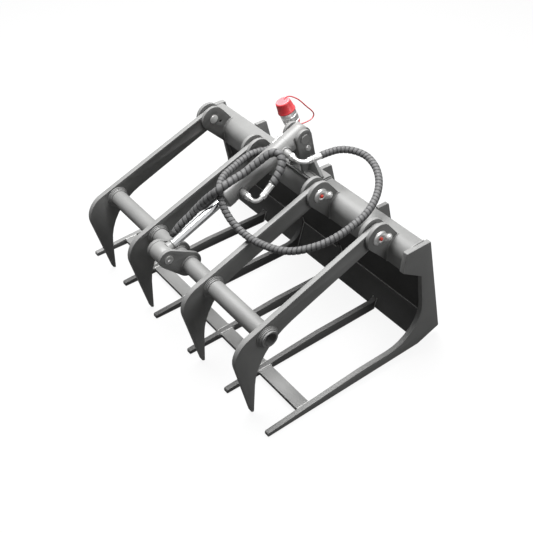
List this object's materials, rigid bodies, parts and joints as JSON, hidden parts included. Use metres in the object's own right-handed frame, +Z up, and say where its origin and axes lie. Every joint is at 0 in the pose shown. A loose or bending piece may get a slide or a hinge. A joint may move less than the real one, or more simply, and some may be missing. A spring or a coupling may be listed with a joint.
{
  "type": "log grapple",
  "caption": "Hydraulic log grapple attachment: steel fork frame with flat tines and a curved-arm top jaw closed by one cylinder.",
  "frame": {"origin": "On the ground, at the middle of the width and half way between the knuckles of the arms and the rear edges of the hook plates.", "axes": "+X to the right-hand side of someone standing behind the back wall, -Y towards the tine tips, +Z up."},
  "size_m": [0.95, 0.7299, 0.6117],
  "materials": {
    "frame_paint": "satin dark grey powder coat",
    "cylinder_paint": "satin dark grey",
    "zinc": "bright zinc plate",
    "chrome": "hard chrome",
    "bushing": "machined bronze",
    "piston_steel": "turned steel",
    "seal": "matte black",
    "hose": "black hose in a spiral guard",
    "red_cap": "red dust cap",
    "nipple": "red cap on a grease nipple"
  },
  "bodies": {
    "frame": {"side_plate_left": "frame_paint", "side_plate_right": "frame_paint", "main_tine_left": "frame_paint", "main_tine_right": "frame_paint", "short_tine_left": "frame_paint", "short_tine_right": "frame_paint", "back_plate": "frame_paint", "toe_plate": "frame_paint", "top_beam": "frame_paint", "tie_bar_1": "frame_paint", "tie_bar_2": "frame_paint", "tie_bar_3": "frame_paint", "tie_bar_4": "frame_paint", "tie_bar_5": "frame_paint", "arm_ears_1": "frame_paint", "arm_ears_2": "frame_paint", "arm_ears_3": "frame_paint", "arm_ears_4": "frame_paint", "bracket_saddle": "frame_paint", "bracket_ear_left": "frame_paint", "bracket_ear_right": "frame_paint", "bracket_gussets": "frame_paint", "hook_plate_left": "frame_paint", "hook_plate_right": "frame_paint", "middle_ribs": "frame_paint", "arm_pins": "zinc", "pin_keeper_bolts": "zinc", "grease_nipples": "nipple", "base_pin": "zinc", "base_pin_clips": "zinc"},
    "jaw": {"arm_1": "frame_paint", "arm_2": "frame_paint", "arm_3": "frame_paint", "arm_4": "frame_paint", "arm_bushes": "bushing", "cross_tube": "frame_paint", "tube_collars": "frame_paint", "clevis_left": "frame_paint", "clevis_right": "frame_paint", "rod_pin_ends": "zinc"},
    "cylinder": {"barrel": "cylinder_paint", "base_eye_bush": "bushing", "gland": "cylinder_paint", "wiper_seal": "seal", "port_elbows": "zinc", "hose_ferrules": "zinc", "hose_loop": "hose", "hose_run": "hose", "coupler_elbow": "zinc", "coupler": "zinc", "coupler_cap": "red_cap", "cap_strap": "red_cap", "hose_plug": "seal"},
    "rod": {"piston_rod": "chrome", "rod_eye": "cylinder_paint", "piston": "piston_steel", "piston_seals": "seal", "rod_eye_bush": "bushing", "rod_pin_core": "zinc"}
  },
  "joints": [
    {"name": "arm_swing", "type": "hinge", "parent": "frame", "child": "jaw", "pos_m": [0, 0.096, 0.422], "axis": [-1, 0, 0], "range_deg": [0, 90], "deforming": ["hose_loop", "hose_run", "cap_strap"]},
    {"name": "cylinder_swing", "type": "hinge", "parent": "frame", "child": "cylinder", "pos_m": [0, 0.141, 0.525], "axis": [-1, 0, 0], "range_deg": [0, 89.2]},
    {"name": "rod_slide", "type": "slide", "parent": "cylinder", "child": "rod", "axis": [0, 0.9169, 0.3991], "range_m": [0, 0.159]}
  ],
  "couplings": [
    {"joint": "cylinder_swing", "follows": "arm_swing", "ratio": 0.98945},
    {"joint": "rod_slide", "follows": "arm_swing", "m_per_rad": 0.1011}
  ]
}
